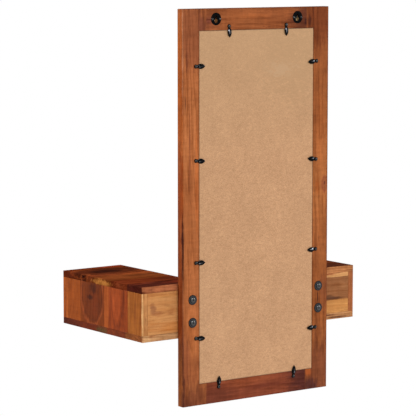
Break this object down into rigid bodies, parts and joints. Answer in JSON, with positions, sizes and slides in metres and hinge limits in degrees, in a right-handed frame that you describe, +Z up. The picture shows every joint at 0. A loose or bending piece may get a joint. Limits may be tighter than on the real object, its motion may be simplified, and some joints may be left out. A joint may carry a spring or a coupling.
{
  "type": "wall mirror with drawers",
  "caption": "Tall wall mirror in a solid wood frame with a wooden drawer box on each side, turn buttons on the backing board and keyhole plates to hang it.",
  "frame": {"origin": "on the back plane of the frame, which is the wall, midway between the entry holes of the two hanger plates", "axes": "+X to the right for someone who faces the mirror, +Y out of the back towards the wall, +Z up"},
  "size_m": [0.746, 0.4577, 1.1],
  "materials": {
    "frame_wood": "clear satin lacquer on reddish acacia",
    "box_wood": "clear satin lacquer on glued staves of acacia",
    "drawer_wood": "light acacia, clear lacquer",
    "dowel_wood": "plain beech",
    "plywood": "light plywood, unfinished",
    "hardboard": "matt light brown hardboard",
    "mirror": "silvered glass",
    "black_steel": "black lacquered steel, semi-gloss",
    "black_iron": "black lacquered iron, satin",
    "zinc_steel": "zinc plated steel"
  },
  "bodies": {
    "mirror_body": {"right_stile": "frame_wood", "left_stile": "frame_wood", "top_rail": "frame_wood", "bottom_rail": "frame_wood", "mirror_glass": "mirror", "backing_board": "hardboard", "right_hanger_plate": "black_steel", "left_hanger_plate": "black_steel", "hanger_screws": "black_steel", "button_screws": "black_steel", "box_bolts": "black_steel", "box_washers": "black_steel", "box_inserts": "zinc_steel", "right_box_top": "box_wood", "right_box_bottom": "box_wood", "right_box_outer_side": "box_wood", "right_box_inner_side": "box_wood", "right_box_back": "box_wood", "left_box_top": "box_wood", "left_box_bottom": "box_wood", "left_box_outer_side": "box_wood", "left_box_inner_side": "box_wood", "left_box_back": "box_wood", "right_box_dowels": "dowel_wood", "left_box_dowels": "dowel_wood"},
    "right_drawer": {"right_drawer_front": "box_wood", "right_drawer_outer_side": "drawer_wood", "right_drawer_inner_side": "drawer_wood", "right_drawer_back": "drawer_wood", "right_drawer_bottom": "plywood", "right_drawer_knob": "black_iron", "right_drawer_knob_screw": "zinc_steel"},
    "left_drawer": {"left_drawer_front": "box_wood", "left_drawer_outer_side": "drawer_wood", "left_drawer_inner_side": "drawer_wood", "left_drawer_back": "drawer_wood", "left_drawer_bottom": "plywood", "left_drawer_knob": "black_iron", "left_drawer_knob_screw": "zinc_steel"},
    "right_button_1": {"right_button_1": "black_steel"},
    "right_button_2": {"right_button_2": "black_steel"},
    "right_button_3": {"right_button_3": "black_steel"},
    "right_button_4": {"right_button_4": "black_steel"},
    "left_button_1": {"left_button_1": "black_steel"},
    "left_button_2": {"left_button_2": "black_steel"},
    "left_button_3": {"left_button_3": "black_steel"},
    "left_button_4": {"left_button_4": "black_steel"},
    "top_button_right": {"top_button_right": "black_steel"},
    "top_button_left": {"top_button_left": "black_steel"},
    "bottom_button_right": {"bottom_button_right": "black_steel"},
    "bottom_button_left": {"bottom_button_left": "black_steel"}
  },
  "joints": [
    {"name": "right_drawer_slide", "type": "slide", "parent": "mirror_body", "child": "right_drawer", "axis": [0, -1, 0], "range_m": [0, 0.3]},
    {"name": "left_drawer_slide", "type": "slide", "parent": "mirror_body", "child": "left_drawer", "axis": [0, -1, 0], "range_m": [0, 0.3]},
    {"name": "right_button_1_turn", "type": "hinge", "parent": "mirror_body", "child": "right_button_1", "pos_m": [0.211, 0.001, -0.876], "axis": [0, 1, 0], "continuous": true},
    {"name": "right_button_2_turn", "type": "hinge", "parent": "mirror_body", "child": "right_button_2", "pos_m": [0.211, 0.001, -0.665], "axis": [0, 1, 0], "continuous": true},
    {"name": "right_button_3_turn", "type": "hinge", "parent": "mirror_body", "child": "right_button_3", "pos_m": [0.211, 0.001, -0.382], "axis": [0, 1, 0], "continuous": true},
    {"name": "right_button_4_turn", "type": "hinge", "parent": "mirror_body", "child": "right_button_4", "pos_m": [0.211, 0.001, -0.123], "axis": [0, 1, 0], "continuous": true},
    {"name": "left_button_1_turn", "type": "hinge", "parent": "mirror_body", "child": "left_button_1", "pos_m": [-0.211, 0.001, -0.886], "axis": [0, 1, 0], "continuous": true},
    {"name": "left_button_2_turn", "type": "hinge", "parent": "mirror_body", "child": "left_button_2", "pos_m": [-0.211, 0.001, -0.659], "axis": [0, 1, 0], "continuous": true},
    {"name": "left_button_3_turn", "type": "hinge", "parent": "mirror_body", "child": "left_button_3", "pos_m": [-0.211, 0.001, -0.4], "axis": [0, 1, 0], "continuous": true},
    {"name": "left_button_4_turn", "type": "hinge", "parent": "mirror_body", "child": "left_button_4", "pos_m": [-0.211, 0.001, -0.12], "axis": [0, 1, 0], "continuous": true},
    {"name": "top_button_right_turn", "type": "hinge", "parent": "mirror_body", "child": "top_button_right", "pos_m": [0.098, 0.001, -0.0155], "axis": [0, 1, 0], "continuous": true},
    {"name": "top_button_left_turn", "type": "hinge", "parent": "mirror_body", "child": "top_button_left", "pos_m": [-0.101, 0.001, -0.0155], "axis": [0, 1, 0], "continuous": true},
    {"name": "bottom_button_right_turn", "type": "hinge", "parent": "mirror_body", "child": "bottom_button_right", "pos_m": [0.133, 0.001, -1.0205], "axis": [0, 1, 0], "continuous": true},
    {"name": "bottom_button_left_turn", "type": "hinge", "parent": "mirror_body", "child": "bottom_button_left", "pos_m": [-0.132, 0.001, -1.0205], "axis": [0, 1, 0], "continuous": true}
  ]
}
